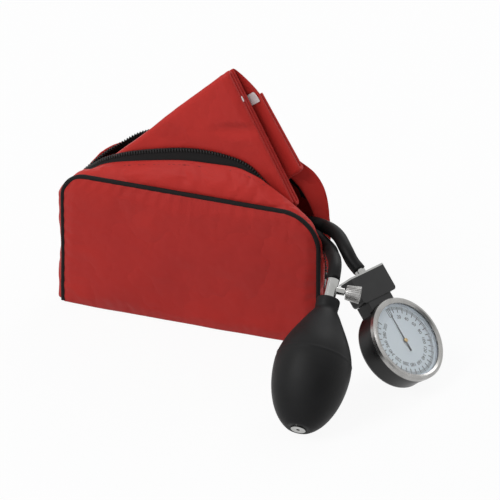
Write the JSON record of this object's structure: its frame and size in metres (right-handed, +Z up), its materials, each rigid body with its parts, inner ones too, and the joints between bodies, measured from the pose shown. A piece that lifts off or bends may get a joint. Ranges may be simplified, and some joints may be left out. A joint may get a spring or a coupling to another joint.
{
  "type": "aneroid sphygmomanometer",
  "caption": "Pocket aneroid blood-pressure gauge with hand bulb and release valve, its folded cuff standing in an open red zip case.",
  "frame": {"origin": "centre of the case's base on the floor", "axes": "+X along the case towards the gauge, +Y to the case's back, +Z up"},
  "size_m": [0.279, 0.1753, 0.1877],
  "materials": {
    "red_nylon": "woven, matt",
    "red_lining": "woven, matt",
    "black_cord": "woven, matt",
    "zip_tape": "woven, matt",
    "zip_teeth": "satin",
    "zip_metal": "polished",
    "hook_cloth": "hook and loop",
    "white_cloth": "matt",
    "black_rubber": "satin",
    "chrome": "polished",
    "satin_silver": "knurled, satin",
    "black_plastic": "satin",
    "bezel_metal": "satin",
    "crystal": "clear",
    "dial_white": "matt",
    "brass": "satin",
    "ring_white": "matt",
    "pointer_black": "matt"
  },
  "bodies": {
    "case": {"case_front_panel": "red_nylon", "case_rear_panel": "red_nylon", "case_base_panel": "red_nylon", "case_left_gusset": "red_nylon", "case_right_gusset": "red_nylon", "case_front_flap": "red_nylon", "case_rear_flap": "red_nylon", "case_front_piping": "black_cord", "case_rear_piping": "black_cord", "zip_front_tape": "zip_tape", "zip_rear_tape": "zip_tape", "zip_front_teeth": "zip_teeth", "zip_rear_teeth": "zip_teeth", "zip_stops": "zip_metal"},
    "instrument": {"cuff_outer_cloth": "red_nylon", "cuff_inner_cloth": "red_lining", "cuff_hem_binding": "red_nylon", "cuff_bladder": "black_rubber", "cuff_hook_patch": "hook_cloth", "cuff_loop_patch": "hook_cloth", "cuff_care_tag": "white_cloth", "cuff_size_patch": "white_cloth", "bladder_ports": "black_rubber", "bulb_hose": "black_rubber", "gauge_hose": "black_rubber", "bulb": "black_rubber", "end_valve_body": "chrome", "end_valve_retainer": "chrome", "release_valve_body": "chrome", "outlet_valve_seat": "brass", "release_seal": "black_rubber", "gauge_housing": "black_plastic", "gauge_bezel": "bezel_metal", "gauge_crystal": "crystal", "crystal_gasket": "black_rubber", "dial_ring": "ring_white", "gauge_dial": "dial_white", "movement_top_plate": "brass", "movement_base_plate": "brass", "movement_pillars": "brass", "movement_screws": "brass", "hairspring": "brass", "capsule_base": "brass", "inlet_tube": "brass", "neck_collar": "black_plastic", "neck_block": "black_plastic", "hose_nipple": "chrome", "belt_clip": "chrome", "clip_screws": "chrome"},
    "zip_slider": {"zip_slider": "zip_metal"},
    "zip_pull": {"zip_pull": "zip_metal"},
    "end_valve_disc": {"end_valve_disc": "black_rubber"},
    "outlet_valve_disc": {"outlet_valve_disc": "black_rubber"},
    "needle": {"release_needle": "brass"},
    "knob": {"release_knob": "satin_silver"},
    "capsule_top": {"capsule_top": "brass"},
    "rocking_shaft": {"rocking_shaft": "brass"},
    "sector_gear": {"sector_gear": "brass"},
    "pointer": {"pointer": "pointer_black", "pointer_pinion": "brass"}
  },
  "joints": [
    {"name": "cuff_lift_out", "type": "slide", "parent": "case", "child": "instrument", "axis": [0.7193, 0, 0.6947], "range_m": [0, 0.19], "deforming": ["bulb_hose", "gauge_hose"]},
    {"name": "zip_slider_slide", "type": "slide", "parent": "case", "child": "zip_slider", "axis": [0, 0, 1], "range_m": [0, 0.006]},
    {"name": "zip_pull_hinge", "type": "hinge", "parent": "zip_slider", "child": "zip_pull", "pos_m": [0.09333, 0.00081, 0.039], "axis": [-0.1644, 0.9864, 0], "range_deg": [-85, 0]},
    {"name": "end_valve_lift", "type": "slide", "parent": "instrument", "child": "end_valve_disc", "axis": [-0.0631, 0.8014, 0.5948], "range_m": [0, 0.0008]},
    {"name": "outlet_valve_lift", "type": "slide", "parent": "instrument", "child": "outlet_valve_disc", "axis": [-0.0631, 0.8014, 0.5948], "range_m": [0, 0.0008]},
    {"name": "needle_travel", "type": "slide", "parent": "instrument", "child": "needle", "axis": [0.9737, 0.1802, -0.1396], "range_m": [0, 0.0015]},
    {"name": "knob_turn", "type": "hinge", "parent": "needle", "child": "knob", "pos_m": [0.12447, -0.05887, 0.06806], "axis": [0.9737, 0.1802, -0.1396], "range_deg": [0, 1080]},
    {"name": "capsule_rise", "type": "slide", "parent": "instrument", "child": "capsule_top", "axis": [0.7115, -0.1716, 0.6814], "range_m": [0, 0.0012]},
    {"name": "rocking_shaft_turn", "type": "hinge", "parent": "instrument", "child": "rocking_shaft", "pos_m": [0.16093, -0.04564, 0.02106], "axis": [0.3191, 0.9428, -0.0958], "range_deg": [0, 9.88]},
    {"name": "sector_turn", "type": "hinge", "parent": "instrument", "child": "sector_gear", "pos_m": [0.16381, -0.03396, 0.01894], "axis": [0.7115, -0.1716, 0.6814], "range_deg": [0, 36.02]},
    {"name": "pointer_turn", "type": "hinge", "parent": "instrument", "child": "pointer", "pos_m": [0.16104, -0.04472, 0.03043], "axis": [0.7115, -0.1716, 0.6814], "range_deg": [-324.1, 0]}
  ],
  "couplings": [
    {"joint": "knob_turn", "follows": "needle_travel", "rad_per_m": 12566},
    {"joint": "rocking_shaft_turn", "follows": "capsule_rise", "rad_per_m": 143.57},
    {"joint": "sector_turn", "follows": "capsule_rise", "rad_per_m": 523.6},
    {"joint": "pointer_turn", "follows": "capsule_rise", "rad_per_m": -4712.4}
  ]
}
